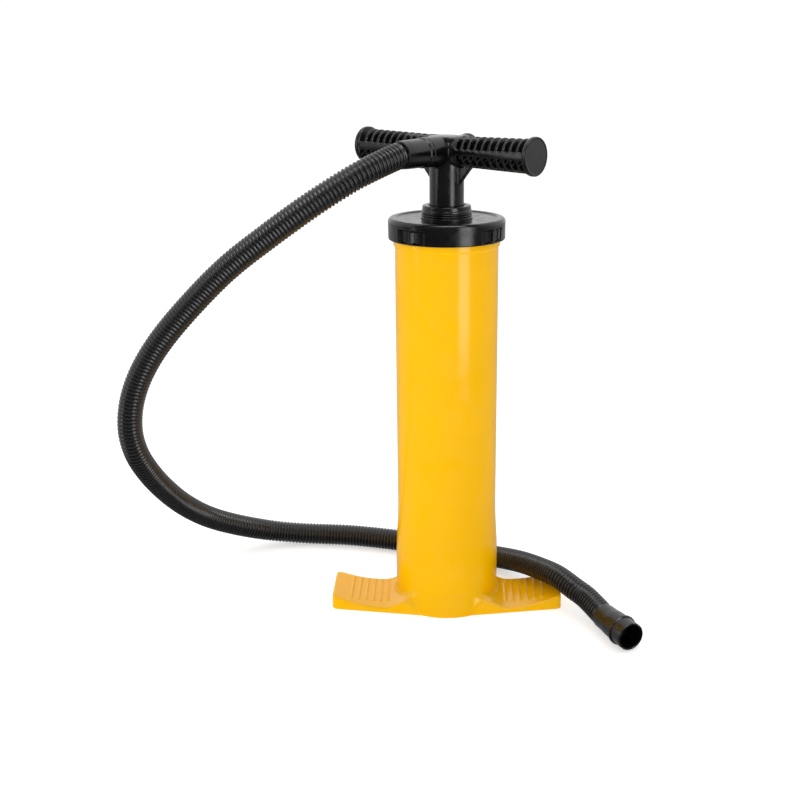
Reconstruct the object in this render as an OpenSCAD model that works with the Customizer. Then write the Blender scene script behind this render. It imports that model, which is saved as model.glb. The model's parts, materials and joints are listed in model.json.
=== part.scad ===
// Double-action hand pump stood on with the feet: a T-handle lifts a piston in a round barrel,
// and a corrugated hose leaves the handle's hub.
// The origin is on the floor at the barrel's axis, +Z is up, and all sizes are in millimetres.

/* [Barrel] */
// Outside diameter of the barrel
barrel_d = 100; // [99:0.5:101]
// Wall of the barrel
barrel_wall = 3; // [2.5:0.25:3]
// Height of the barrel's top rim above the floor
barrel_top = 390; // [340:5:420]

/* [Cap] */
// Outside diameter of the screw cap
cap_d = 113; // [112:0.5:116]
// Depth of the grip pockets in the cap's skirt
pocket_depth = 3; // [1:0.5:3]
// Width of one grip pocket, in degrees round the cap
pocket_angle = 14; // [10:1:16]

/* [Handle] */
// Length of the T-handle over both end discs
handle_length = 207; // [190:1:220]
// Angle of the handle round the barrel, from the line of the foot plate
handle_angle = -39.4; // [-45:0.1:-30]
// Diameter of a grip beside the hub
grip_d_hub = 28.4; // [28:0.2:29]
// Diameter of a grip beside its end disc
grip_d_end = 31.4; // [30:0.2:32]
// Diameter of the end discs
end_disc_d = 35; // [33:0.5:37]
// Number of slots along one grip
slot_count = 10; // [6:1:11]
// Diameter of the stem below the hub
stem_d = 33; // [32:0.5:36]

/* [Foot plate] */
// Length over both wings
plate_length = 235; // [230:1:240]
// Diameter of the round middle of the plate
plate_disc_d = 112; // [111:0.5:114]
// Height of the plate where it rises against the barrel
plate_nose_h = 18; // [14:0.5:20]
// Height of the upturned wing tips
plate_tip_h = 15.5; // [12:0.5:16]
// Number of tread ridges on one wing
tread_count = 6; // [3:1:6]

/* [Piston] */
// How far the handle lifts
stroke = 320; // [250:5:320]
// Lift of a valve disc off its seat
valve_lift = 1.8; // [1:0.2:1.8]

/* [Hose] */
// Outside diameter of the hose over its ribs
hose_d = 24; // [23:0.5:24]
// Bore of the hose
hose_bore_d = 19; // [17:0.5:20]

/* [Hidden] */
$fn = 72;

eps = 0.02;                 // overrun of a cut past a face
running = 0.05;             // radial clearance of a running fit

// Barrel and base
barrel_r = barrel_d / 2;
bore_r = barrel_r - barrel_wall;
foot_r = barrel_r + 2.3;     // the barrel's outside where it meets the plate
flare_top = 108;            // the barrel widens between these two heights, towards its foot
flare_low = 46;
plate_floor = 4;            // thickness of the plate below the base plug
plug_flange_h = 6;
barrel_bottom = plate_floor + plug_flange_h;
plug_top = barrel_bottom + 8;
base_seal_z = barrel_bottom + 4;
bead_h = 6.5;
bead_r = barrel_r + 1.5;
foot_screw_r = 36;          // pitch radius of the screws under the plate
foot_head_r = 4.2;          // screw heads, and the holes that they sit in
foot_head_hole_r = 4.5;
foot_head_z = 0.6;
foot_neck_z = 2.4;
foot_shank_r = 2;
foot_shank_hole_r = 2.2;

// Cap and gland
cap_r = cap_d / 2;
skirt_bottom = barrel_top - 13;
cap_inner_z = barrel_top + 2;
cap_plate_z = barrel_top + 5;
cap_crest_z = barrel_top + 7.5;
neck_bottom = barrel_top - 5;
gland_seat_z = barrel_top - 2;
gland_top = barrel_top + 19;
gland_lip_z = gland_top - 5;
stem_seat_z = gland_top - 2;
bush_r = 20;
gland_thread_r = 22;
neck_r = 26;
neck_bore_r = 16;
gland_bottom_r = 24.6;
gland_waist_r = gland_bottom_r - 0.6;
gland_top_r = 23.3;
gland_step_z = cap_plate_z + 4;      // the collar's two steps
gland_shoulder_z = cap_plate_z + 8;
stem_gap = 1.2;             // gap round the stem in the collar's mouth
bush_h = 8;
lip_t = 1.4;                // thickness of the rod seal's two lips
lip_depth = 4.7;            // depth of the groove between them

// Rod
rod_r = 15;
rod_inner_r = 13;
air_tube_r = 8;
air_tube_bore_r = 6.5;

// Piston, from its lower face up
piston_bottom = plug_top + 2;
plate_split_low = piston_bottom + 7;
plate_split_high = plate_split_low + 22;
piston_top = plate_split_high + 7;
piston_r = bore_r - 0.3;
ring_minor_r = 1.6;
ring_groove_r = 43.4;
piston_screw_r = 38;
outlet_z = plate_split_low + 5;
inlet_z = plate_split_low + 14.5;
rod_foot_z = plate_split_low + 18;
chamber_z = plate_split_low + 11;
air_tube_foot_z = plate_split_low + 8;
foot_seal_z = air_tube_foot_z + 0.7;
tube_seal_r = 9.6;
tube_seal_h = 1.8;
intake_gallery_r = 3.2;
outlet_gallery_r = 3.4;
piston_shank_r = 1.75;
piston_head_r = 3.4;
piston_head_hole_r = 3.6;
piston_head_depth = 3;
buffer_r = 23;
buffer_h = 4;

// Check valves: flat discs on seats round the piston
valve_pitch_r = 29;
valve_r = 7.6;
valve_t = 1.5;
valve_pocket_r = 8.2;
seat_bore_r = 4.5;
outlet_bore_r = 5.5;
seat_gap = 0.05;
pocket_depth_z = valve_t + valve_lift + 0.2;

// Handle
handle_z = gland_top + 51;
stem_r = stem_d / 2;
stem_foot_z = stem_seat_z + 0.2;
rod_head_z = handle_z - 26;
annulus_top_z = handle_z - 17;
air_tube_head_z = handle_z - 8;
head_seal_z = air_tube_head_z - 5;
cover_z = handle_z + 9;
hub_top = handle_z + 14.5;
collar_end = 21.4;
disc_t = 5.2;
rib_t = 3.1;
disc_inner_x = handle_length / 2 - disc_t;
slot_w = (disc_inner_x - collar_end - (slot_count - 1) * rib_t) / slot_count;
grip_core_r = 9.5;
spine_half = 2.6;           // half the width of the bands that join the ribs
port_bore_r = 7.5;
intake_bore_r = 8.5;
intake_end = 34;
spigot_r = 10.5;
spigot_end = 46;
port_collar_r = 14;
web_t = 5;                  // the webs between the stem and the grips
web_reach = 31;
web_foot_z = -31;           // below the grips' axis
web_tip_z = -13;
web_top_z = -8;
lug_w = 3;                  // the two lugs on the intake port
lug_out = 1.4;
duct_y = 9;                 // duct from the rod's air way to the intake port
duct_w = 10;
duct_t = 3.6;
duct_h = 14;

// Hose cuffs
cuff_r = 13;
cuff_start = 33;
cuff_end = 67;
cuff_ring_r = 14;
end_cuff_length = 48;
end_cuff_r = 13.8;
end_cuff_neck_r = 13;
end_cuff_ring_r = 15.2;
end_cuff_ring_x = 14;       // from the mouth
end_cuff_ring_w = 2.5;
end_cuff_wide = 30;         // length of the wide part behind the mouth
bayonet_w = 3.6;            // two slots in the mouth
bayonet_depth = 7;
bayonet_turn = 40;
end_cuff_bore_r = 12;
end_cuff_bore_depth = 24;
end_cuff_z = end_cuff_ring_r + 0.1;
end_mouth = [175.5, -123, end_cuff_z];
end_turn = -65;             // direction in which the end cuff points, round Z
end_direction = [cos(end_turn), sin(end_turn), 0];
port_direction = [sin(handle_angle), -cos(handle_angle), 0];

// Where the hose starts, and the points that it runs through to its end cuff
hose_start = [0, 0, handle_z] + cuff_end * port_direction;
hose_route = [
    hose_start, [-65.7, -72, 451], [-87.7, -81, 440], [-122.8, -83, 418], [-160.7, -78, 391],
    [-199.5, -71, 361], [-235.7, -64, 326], [-266.9, -58, 291], [-287.9, -55, 260], [-300.8, -53, 230],
    [-306.2, -49, 200], [-304.7, -40.8, 173.7], [-300, -23.4, 147.9], [-292.6, 5.7, 117.3],
    [-281.4, 42.7, 84.2], [-263.9, 75.7, 56.3], [-238.1, 101, 35.9], [-204.4, 124, 19],
    [-163.8, 130, 12.6], [-110.8, 125, 12.2], [-55.9, 111, 12.2], [-0.8, 93, 12.2], [47, 68, 13],
    [79, 37, 19.8], [100, 8, 24.6], [115, -18, 28.2], [130.5, -38.5, 24.2], [141.5, -52, 20.7],
    end_mouth - end_direction * end_cuff_length
];
hose_sides = 12;
hose_steps = 2;             // rings for each stretch between two route points

function unit(v) = v / norm(v);
function clamp_index(i, n) = max(0, min(n - 1, i));

// A point on the smooth curve that passes through b and c
function between(a, b, c, d, t) =
    0.5 * (2 * b + (c - a) * t + (2 * a - 5 * b + 4 * c - d) * t * t
        + (3 * b - a - 3 * c + d) * t * t * t);

// The smooth line through the route's points
function smooth_line(p) = concat(
    [for (i = [0 : len(p) - 2], k = [0 : hose_steps - 1])
        between(p[clamp_index(i - 1, len(p))], p[i], p[i + 1],
            p[clamp_index(i + 2, len(p))], k / hose_steps)],
    [p[len(p) - 1]]);

// Directions along the line, square to the cuffs at its two ends
function headings(line) =
    let (last = len(line) - 1)
    [for (i = [0 : last])
        i == 0 ? port_direction : i == last ? end_direction : unit(line[i + 1] - line[i - 1])];

// Side directions carried along the line without twist
function sides_along(heading, i = 0, last = [0, 0, 1]) =
    i == len(heading) ? [] :
    let (side = unit(last - (last * heading[i]) * heading[i]))
    concat([side], sides_along(heading, i + 1, side));

function ring_points(centre, heading, side, r) =
    [for (k = [0 : hose_sides - 1])
        let (a = 360 * k / hose_sides)
        centre + r * (cos(a) * side + sin(a) * cross(heading, side))];

module hollow_tube(line, r_out, r_in) {
    heading = headings(line);
    side = sides_along(heading);
    n = len(line);
    s = hose_sides;
    points = concat(
        [for (i = [0 : n - 1]) each ring_points(line[i], heading[i], side[i], r_out)],
        [for (i = [0 : n - 1]) each ring_points(line[i], heading[i], side[i], r_in)]);
    inner = n * s;
    outer_faces = [for (i = [0 : n - 2], k = [0 : s - 1])
        [i * s + k, (i + 1) * s + k, (i + 1) * s + (k + 1) % s, i * s + (k + 1) % s]];
    inner_faces = [for (i = [0 : n - 2], k = [0 : s - 1])
        [inner + i * s + (k + 1) % s, inner + (i + 1) * s + (k + 1) % s,
            inner + (i + 1) * s + k, inner + i * s + k]];
    start_faces = [for (k = [0 : s - 1])
        [k, (k + 1) % s, inner + (k + 1) % s, inner + k]];
    e = (n - 1) * s;
    end_faces = [for (k = [0 : s - 1])
        [e + (k + 1) % s, e + k, inner + e + k, inner + e + (k + 1) % s]];
    polyhedron(points, concat(outer_faces, inner_faces, start_faces, end_faces));
}

module at_handle() rotate([0, 0, handle_angle]) children();

// A round bar between two heights
module bar(r, z0, z1) translate([0, 0, z0]) cylinder(r = r, h = z1 - z0);

module ring(r_out, r_in, z0, z1) difference() {
    bar(r_out, z0, z1);
    bar(r_in, z0 - eps, z1 + eps);
}

module torus(major_r, minor_r, z)
    translate([0, 0, z]) rotate_extrude() translate([major_r, 0]) circle(r = minor_r, $fn = 24);

// A round bar along the handle's Y axis at the height of the grips
module port_bar(r, y0, y1)
    translate([0, y0, handle_z]) rotate([-90, 0, 0]) cylinder(r = r, h = y1 - y0);

// A round bar along the handle's X axis at the height of the grips
module grip_bar(r, x0, x1)
    translate([x0, 0, handle_z]) rotate([0, 90, 0]) cylinder(r = r, h = x1 - x0);

module around(count, r, start = 0)
    for (i = [0 : count - 1]) rotate([0, 0, start + i * 360 / count]) translate([r, 0, 0]) children();

module screw(r_head, r_shank, z_head, z_neck, z_tip) {
    bar(r_head, min(z_head, z_neck), max(z_head, z_neck));
    bar(r_shank, z_neck, z_tip);
}

// ---- Foot plate and base ----

nose_half = 28;             // half the width of the raised nose
dip_x = 66;                 // where a wing is lowest
dip_h = 5;
tread_h = 1.6;
tread_w = 2.2;
wing_front_root = 54;       // reach of the wings in front of the barrel's axis, at the axis and at the tips
wing_front_tip = 36;
wing_back = 27;             // and behind it
front_corner_r = 6;
back_corner_r = 9;
tread_first_x = 61;
tread_pitch = 7.5;
tread_front = 28;
tread_back = 23;
hollow_from_x = 57;         // hollows under the wings, their ribs and the walls left round them
hollow_ribs = [80, 98];
hollow_rib_t = 2;
hollow_wall = 3.2;
hollow_skin = 2.4;

// Height of the plate's upper surface at a distance from the barrel's axis
function plate_height(x) =
    let (a = abs(x))
    a < nose_half ? plate_nose_h :
    a < dip_x ? dip_h + (plate_nose_h - dip_h) * (1 + cos(180 * (a - nose_half) / (dip_x - nose_half))) / 2 :
    dip_h + (plate_tip_h - dip_h) * pow((a - dip_x) / (plate_length / 2 - dip_x), 2);

module plate_profile(drop, half) {
    step = 4;
    xs = [for (x = [-half : step : half]) x];
    translate([0, 80, 0]) rotate([90, 0, 0]) linear_extrude(160)
        polygon(concat([[-half, -1]], [for (x = xs) [x, plate_height(x) - drop]], [[half, -1]]));
}

// Plan of both wings with rounded tips, inset all round
module wing_plan(inset) {
    x = plate_length / 2 - inset;
    front_r = front_corner_r - inset / 2;
    back_r = back_corner_r - inset / 2;
    front = inset - wing_front_tip;
    back = wing_back - inset;
    right = concat(
        [[0, inset - wing_front_root]],
        [for (a = [-90 : 15 : 0]) [x - front_r + front_r * cos(a), front + front_r + front_r * sin(a)]],
        [for (a = [0 : 15 : 90]) [x - back_r + back_r * cos(a), back - back_r + back_r * sin(a)]]);
    polygon(concat(right, [for (i = [len(right) - 1 : -1 : 1]) [-right[i][0], right[i][1]]]));
}

module treads() for (side = [-1, 1], i = [0 : tread_count - 1]) {
    x = side * (tread_first_x + tread_pitch * i);
    translate([x - tread_w / 2, -tread_front, plate_height(x) - 2])
        cube([tread_w, tread_front + tread_back, 2 + tread_h]);
}

module foot_plate() color([0.98, 0.76, 0.04]) difference() {
    union() {
        intersection() {
            plate_profile(0, plate_length / 2 + 4);
            union() {
                linear_extrude(40) wing_plan(0);
                bar(plate_disc_d / 2, 0, 40);
            }
            translate([-150, -150, 0]) cube([300, 300, 40]);
        }
        treads();
    }
    // Socket of the base plug and the barrel
    bar(foot_r + running, plate_floor, 60);
    // Hollows under the wings
    intersection() {
        plate_profile(hollow_skin, plate_length / 2 + 4);
        difference() {
            translate([0, 0, -1]) linear_extrude(30) wing_plan(hollow_wall);
            translate([-hollow_from_x, -80, -2]) cube([2 * hollow_from_x, 160, 40]);
            for (x = hollow_ribs, side = [-1, 1])
                translate([side * x - hollow_rib_t / 2, -80, -2]) cube([hollow_rib_t, 160, 40]);
            translate([-150, -hollow_rib_t / 2, -2]) cube([300, hollow_rib_t, 40]);
        }
    }
    around(4, foot_screw_r, 45) {
        bar(foot_head_hole_r, -1, foot_neck_z);
        bar(foot_shank_hole_r, 0, plate_floor + 1);
    }
}

module base_plug() color([0.12, 0.12, 0.13]) difference() {
    union() {
        bar(foot_r, plate_floor, barrel_bottom);
        bar(bore_r - running, barrel_bottom - 1, plug_top);
    }
    torus(bore_r - ring_minor_r, ring_minor_r, base_seal_z);
    around(4, foot_screw_r, 45) bar(foot_shank_r, plate_floor - 1, barrel_bottom + 3);
}

module base_seal() color([0.08, 0.08, 0.08]) torus(bore_r - ring_minor_r, ring_minor_r, base_seal_z);

module foot_screws() color([0.72, 0.72, 0.74])
    around(4, foot_screw_r, 45)
        screw(foot_head_r, foot_shank_r, foot_head_z, foot_neck_z, barrel_bottom + 2.6);

// Outside radius of the barrel at a height, widening smoothly towards its foot
function barrel_outside(z) =
    barrel_r + (foot_r - barrel_r) * (1 + cos(180 * max(0, min(1, (z - flare_low) / (flare_top - flare_low))))) / 2;

module barrel_tube() color([1, 0.78, 0.02]) rotate_extrude() polygon(concat(
    [[bore_r, barrel_bottom], [foot_r, barrel_bottom]],
    [for (i = [0 : 6]) let (z = flare_low + (flare_top - flare_low) * i / 6) [barrel_outside(z), z]],
    [[barrel_r, skirt_bottom - bead_h], [bead_r, skirt_bottom - bead_h], [bead_r, skirt_bottom],
        [barrel_r, skirt_bottom], [barrel_r, barrel_top], [bore_r, barrel_top]]));

// ---- Cap and gland ----

pocket_group_angles = [for (i = [0 : 3]) -128 + 90 * i];
pocket_rib_angle = 3.5;     // width of the rib between two pockets, in degrees

module cap_outline() {
    edge = 5;
    polygon(concat(
        [[neck_bore_r, neck_bottom], [neck_r, neck_bottom], [neck_r, cap_inner_z],
            [barrel_r + running, cap_inner_z], [barrel_r + running, skirt_bottom], [cap_r - 0.5, skirt_bottom]],
        [for (a = [0 : 15 : 90])
            [cap_r - edge + edge * cos(a), cap_crest_z - edge + edge * sin(a)]],
        [for (a = [0 : 30 : 90]) [cap_r - edge - 4 * sin(a), cap_plate_z + (cap_crest_z - cap_plate_z) * cos(a)]],
        [[gland_thread_r, cap_plate_z], [gland_thread_r, gland_seat_z], [neck_bore_r, gland_seat_z]]));
}

module top_cap() color([0.13, 0.13, 0.14]) difference() {
    rotate_extrude() cap_outline();
    for (a = pocket_group_angles, side = [0, 1])
        rotate([0, 0, a + side * pocket_rib_angle / 2 - (1 - side) * (pocket_rib_angle / 2 + pocket_angle)])
            rotate_extrude(angle = pocket_angle)
                translate([cap_r - pocket_depth, skirt_bottom - 1])
                    square([10, cap_inner_z - skirt_bottom]);
}

module cap_gasket() color([0.06, 0.06, 0.06]) ring(barrel_r, bore_r, barrel_top, cap_inner_z);

module gland_collar() color([0.16, 0.16, 0.17]) difference() {
    rotate_extrude() polygon([
        [bush_r + running, gland_seat_z], [gland_thread_r, gland_seat_z], [gland_thread_r, cap_plate_z],
        [gland_bottom_r, cap_plate_z], [gland_bottom_r, gland_step_z - 0.5], [gland_waist_r, gland_step_z],
        [gland_waist_r, gland_shoulder_z], [gland_top_r, gland_shoulder_z + 0.6],
        [gland_top_r, gland_top - 1], [gland_top_r - 1, gland_top], [stem_r + stem_gap, gland_top],
        [stem_r + stem_gap, stem_seat_z], [rod_r + 0.5, stem_seat_z], [rod_r + 0.5, gland_lip_z],
        [bush_r + running, gland_lip_z]]);
}

module guide_bush() color([0.85, 0.84, 0.8])
    ring(bush_r, rod_r + running, gland_seat_z + 0.3, gland_seat_z + bush_h);

module rod_seal() color([0.07, 0.07, 0.07]) {
    low = gland_seat_z + bush_h;
    high = gland_lip_z - 0.3;
    rotate_extrude() polygon([
        [rod_r + running, low], [bush_r, low], [bush_r, high],
        [bush_r - lip_t, high], [bush_r - lip_t - 0.5, high - lip_depth], [rod_r + lip_t + 0.5, high - lip_depth],
        [rod_r + lip_t, high], [rod_r + running, high]]);
}

// ---- Rod and piston ----

module rod_outer_tube() color([0.1, 0.1, 0.11]) ring(rod_r, rod_inner_r, rod_foot_z, rod_head_z);

module rod_inner_tube() color([0.82, 0.82, 0.8]) ring(air_tube_r, air_tube_bore_r, air_tube_foot_z, air_tube_head_z);

module inner_tube_seals() color([0.05, 0.05, 0.05])
    for (z = [foot_seal_z, head_seal_z]) ring(tube_seal_r, air_tube_r, z, z + tube_seal_h);

module ring_groove(z) ring(piston_r + 1, ring_groove_r, z - ring_minor_r - 0.1, z + ring_minor_r + 0.1);

module at_valve(turn) rotate([0, 0, handle_angle + turn]) translate([valve_pitch_r, 0, 0]) children();

module piston_screw_holes(z0, z1) at_handle() around(4, piston_screw_r, 45) bar(piston_shank_r, z0, z1);

module piston_bottom_plate() color([0.9, 0.9, 0.88]) difference() {
    bar(piston_r, piston_bottom, plate_split_low);
    ring_groove(plate_split_low);
    at_valve(180) {
        bar(valve_pocket_r, plate_split_low - pocket_depth_z, plate_split_low + 1);
        bar(outlet_bore_r, piston_bottom - 1, plate_split_low);
    }
    at_valve(270) bar(seat_bore_r, piston_bottom - 1, plate_split_low + 1);
    piston_screw_holes(piston_bottom, plate_split_low + 1);
    at_handle() around(4, piston_screw_r, 45)
        bar(piston_head_hole_r, piston_bottom - 1, piston_bottom + piston_head_depth);
}

module piston_core() color([0.88, 0.88, 0.86]) difference() {
    bar(piston_r, plate_split_low, plate_split_high);
    ring_groove(plate_split_low);
    ring_groove(plate_split_high);
    bar(rod_r, rod_foot_z, plate_split_high + 1);
    bar(rod_inner_r, chamber_z, plate_split_high);
    bar(air_tube_r, air_tube_foot_z, chamber_z + 1);
    bar(tube_seal_r, foot_seal_z, foot_seal_z + tube_seal_h);
    bar(air_tube_bore_r, outlet_z - 3, chamber_z);
    // Galleries from the two air ways to the valves
    at_handle() translate([0, 0, inlet_z]) rotate([0, 90, 0])
        translate([0, 0, -valve_pitch_r]) cylinder(r = intake_gallery_r, h = 2 * valve_pitch_r);
    at_handle() translate([0, -valve_pitch_r, outlet_z]) rotate([-90, 0, 0])
        cylinder(r = outlet_gallery_r, h = 2 * valve_pitch_r);
    at_valve(0) bar(seat_bore_r, inlet_z - 3, plate_split_high + 1);
    at_valve(180) bar(seat_bore_r, plate_split_low - 1, inlet_z + 3);
    at_valve(90) {
        bar(valve_pocket_r, plate_split_high - pocket_depth_z, plate_split_high + 1);
        bar(outlet_bore_r, outlet_z - 3, plate_split_high);
    }
    at_valve(270) {
        bar(valve_pocket_r, plate_split_low - 1, plate_split_low + pocket_depth_z);
        bar(outlet_bore_r, plate_split_low, outlet_z + 4.5);
    }
    piston_screw_holes(plate_split_low - 1, plate_split_high + 1);
}

module piston_top_plate() color([0.9, 0.9, 0.88]) difference() {
    bar(piston_r, plate_split_high, piston_top);
    ring_groove(plate_split_high);
    bar(rod_r, plate_split_high - 1, piston_top + 1);
    at_valve(0) {
        bar(valve_pocket_r, plate_split_high - 1, plate_split_high + pocket_depth_z);
        bar(outlet_bore_r, plate_split_high, piston_top + 1);
    }
    at_valve(90) bar(seat_bore_r, plate_split_high - 1, piston_top + 1);
    piston_screw_holes(plate_split_high - 1, piston_top - 2);
}

module piston_screws() color([0.7, 0.7, 0.72])
    at_handle() around(4, piston_screw_r, 45)
        screw(piston_head_r, piston_shank_r, piston_bottom + 0.8, piston_bottom + piston_head_depth, piston_top - 2.4);

module piston_ring(z) torus(bore_r - running - ring_minor_r, ring_minor_r, z);
module lower_piston_ring() color([0.05, 0.05, 0.05]) piston_ring(plate_split_low);
module upper_piston_ring() color([0.05, 0.05, 0.05]) piston_ring(plate_split_high);

module buffer_washer() color([0.06, 0.06, 0.06]) ring(buffer_r, rod_r, piston_top, piston_top + buffer_h);

module valve_disc(turn, z) color([0.6, 0.1, 0.08]) at_valve(turn) bar(valve_r, z, z + valve_t);
module inlet_valve_upper() valve_disc(0, plate_split_high + seat_gap);
module inlet_valve_lower() valve_disc(180, plate_split_low - valve_t - seat_gap);
module outlet_valve_upper() valve_disc(90, plate_split_high - valve_t - seat_gap);
module outlet_valve_lower() valve_disc(270, plate_split_low + seat_gap);

// ---- Handle ----

function grip_r(x) =
    (grip_d_hub + (grip_d_end - grip_d_hub) * (x - collar_end) / (disc_inner_x - collar_end)) / 2;

cover_half = 5;             // half the distance between the round ends of the hub cover
cover_r = 14;

module cover_bar(z0, z1) {
    for (x = [-cover_half, cover_half]) translate([x, 0, 0]) bar(cover_r, z0, z1);
    translate([-cover_half, -cover_r, z0]) cube([2 * cover_half, 2 * cover_r, z1 - z0]);
}

module grip() {
    grip_bar(grip_d_hub / 2, 0, collar_end);
    grip_bar(grip_core_r, collar_end - 1, disc_inner_x + 1);
    for (i = [1 : slot_count - 1]) {
        x = collar_end + i * slot_w + (i - 1) * rib_t;
        grip_bar(grip_r(x), x, x + rib_t);
    }
    grip_bar(end_disc_d / 2, disc_inner_x, handle_length / 2);
    band = grip_d_hub / 2 - 0.5;
    length = disc_inner_x - collar_end + 2;
    translate([collar_end - 1, -band, handle_z - spine_half]) cube([length, 2 * band, 2 * spine_half]);
    translate([collar_end - 1, -spine_half, handle_z - band]) cube([length, 2 * spine_half, band]);
    translate([collar_end - 1, -spine_half, handle_z]) cube([length * 0.3, 2 * spine_half, band]);
    // Web from the stem to the underside of the grip
    translate([0, web_t / 2, handle_z]) rotate([90, 0, 0]) linear_extrude(web_t)
        polygon([[stem_r - 3, web_foot_z], [stem_r, web_foot_z + 1], [web_reach, web_tip_z],
            [web_reach, web_top_z], [stem_r - 3, web_top_z]]);
}

module handle() color([0.14, 0.14, 0.15]) at_handle() difference() {
    union() {
        bar(stem_r, stem_foot_z, cover_z);
        grip();
        mirror([1, 0, 0]) grip();
        port_bar(port_collar_r, -cuff_start, 0);
        port_bar(spigot_r, -spigot_end, 0);
        port_bar(cuff_r, 0, intake_end);
        port_bar(port_collar_r, intake_end - 4, intake_end - 1);
        for (a = [0, 180]) translate([0, 0, handle_z]) rotate([0, a, 0])
            translate([cuff_r - 1, intake_end - 8, -lug_w / 2]) cube([1 + lug_out, lug_w, lug_w]);
    }
    cover_bar(cover_z, hub_top + 10);
    bar(rod_r, stem_foot_z - 1, rod_head_z);
    bar(rod_inner_r, rod_head_z - 1, annulus_top_z);
    bar(air_tube_r, annulus_top_z - 1, air_tube_head_z);
    bar(tube_seal_r, head_seal_z, head_seal_z + tube_seal_h);
    bar(air_tube_bore_r, air_tube_head_z - 1, handle_z);
    port_bar(port_bore_r, -spigot_end - 1, 4);
    port_bar(intake_bore_r, duct_y, intake_end + 1);
    // Duct from the space round the inner tube up to the intake port
    translate([-duct_w / 2, duct_y, annulus_top_z - 2]) cube([duct_w, duct_t, duct_h]);
}

module hub_cover() color([0.1, 0.1, 0.11]) at_handle() cover_bar(cover_z, hub_top);

// ---- Hose ----

module hose_handle_cuff() color([0.09, 0.09, 0.1]) at_handle() difference() {
    union() {
        port_bar(cuff_ring_r, -cuff_start - 5, -cuff_start);
        port_bar(cuff_r, -cuff_end, -cuff_start);
    }
    port_bar(spigot_r, -spigot_end - 1, 0);
    port_bar(hose_bore_d / 2, -cuff_end - 1, 0);
}

module hose() color([0.08, 0.08, 0.09])
    hollow_tube(smooth_line(hose_route), hose_d / 2, hose_bore_d / 2);

module hose_end_cuff() color([0.09, 0.09, 0.1])
    translate(end_mouth) rotate([0, 0, end_turn]) rotate([0, -90, 0])
        difference() {
            union() {
                bar(end_cuff_r, 0, end_cuff_wide);
                bar(end_cuff_neck_r, 0, end_cuff_length);
                bar(end_cuff_ring_r, end_cuff_ring_x, end_cuff_ring_x + end_cuff_ring_w);
            }
            bar(end_cuff_bore_r, -1, end_cuff_bore_depth);
            bar(hose_bore_d / 2, 0, end_cuff_length + 1);
            rotate([0, 0, bayonet_turn]) translate([-20, -bayonet_w / 2, -1])
                cube([40, bayonet_w, bayonet_depth + 1]);
        }

foot_plate();
base_plug();
base_seal();
foot_screws();
barrel_tube();
top_cap();
cap_gasket();
gland_collar();
guide_bush();
rod_seal();
rod_outer_tube();
rod_inner_tube();
inner_tube_seals();
piston_bottom_plate();
piston_core();
piston_top_plate();
piston_screws();
lower_piston_ring();
upper_piston_ring();
buffer_washer();
inlet_valve_upper();
inlet_valve_lower();
outlet_valve_upper();
outlet_valve_lower();
handle();
hub_cover();
hose_handle_cuff();
hose();
hose_end_cuff();
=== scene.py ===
"""Double-action hand pump: finished surfaces, hose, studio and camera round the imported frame."""
import json
import math

import bmesh
import bpy
import numpy as np
from mathutils import Matrix, Vector


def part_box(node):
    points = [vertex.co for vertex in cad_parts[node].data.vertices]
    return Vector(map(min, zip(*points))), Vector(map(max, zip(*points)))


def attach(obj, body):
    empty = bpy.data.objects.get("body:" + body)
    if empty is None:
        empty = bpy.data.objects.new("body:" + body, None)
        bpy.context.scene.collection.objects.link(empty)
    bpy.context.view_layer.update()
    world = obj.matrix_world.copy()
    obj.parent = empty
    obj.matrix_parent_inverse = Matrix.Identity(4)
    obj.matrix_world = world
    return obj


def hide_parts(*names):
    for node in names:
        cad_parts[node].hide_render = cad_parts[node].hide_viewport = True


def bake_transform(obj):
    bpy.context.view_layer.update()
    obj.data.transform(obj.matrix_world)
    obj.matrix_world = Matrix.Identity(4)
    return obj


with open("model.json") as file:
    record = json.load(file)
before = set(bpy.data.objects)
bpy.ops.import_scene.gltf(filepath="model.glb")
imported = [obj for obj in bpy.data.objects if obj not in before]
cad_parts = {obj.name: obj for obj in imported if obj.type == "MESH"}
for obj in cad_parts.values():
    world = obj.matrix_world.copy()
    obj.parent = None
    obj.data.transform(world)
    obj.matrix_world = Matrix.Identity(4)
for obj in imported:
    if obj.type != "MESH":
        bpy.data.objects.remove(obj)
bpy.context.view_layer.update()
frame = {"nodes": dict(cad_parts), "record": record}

MM = 0.001
TAU = 2 * math.pi


# ---- Sizes read from the frame, in millimetres ----

def low(node, axis=2):
    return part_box(node)[0][axis] / MM


def high(node, axis=2):
    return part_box(node)[1][axis] / MM


BARREL_R = high("cap_gasket", 0)
BORE_R = BARREL_R - 3.0
BEAD_R = BARREL_R + 1.5
FOOT_R = high("base_plug", 0)
FLARE_LOW, FLARE_TOP = 46, 108      # the barrel widens towards its foot between these heights
BARREL_LOW, BARREL_TOP = low("barrel_tube"), high("barrel_tube")
SKIRT_LOW, CAP_TOP = low("top_cap"), high("top_cap")
CAP_R = high("top_cap", 0)
CAP_PLATE = CAP_TOP - 2.5           # the seat of the gland collar
NECK_R, NECK_BORE_R = 26.0, 16.0
GLAND_THREAD_R = 22.0
GLAND_LOW, GLAND_TOP = low("gland_collar"), high("gland_collar")
COVER_FOOT = 9.0                    # above the axis of the grips
HANDLE_Z = low("hub_cover") - COVER_FOOT
HUB_TOP = high("hub_cover")
STEM_FOOT = low("handle")
STEM_R = 16.5
ROD_R = high("rod_outer_tube", 0)
HANDLE_HALF = 103.5
HANDLE_TURN = math.radians(-39.4)
IN_HANDLE = Matrix.Rotation(HANDLE_TURN, 4, "Z") @ Matrix.Translation((0, 0, HANDLE_Z * MM))


# ---- Camera ----

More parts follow.
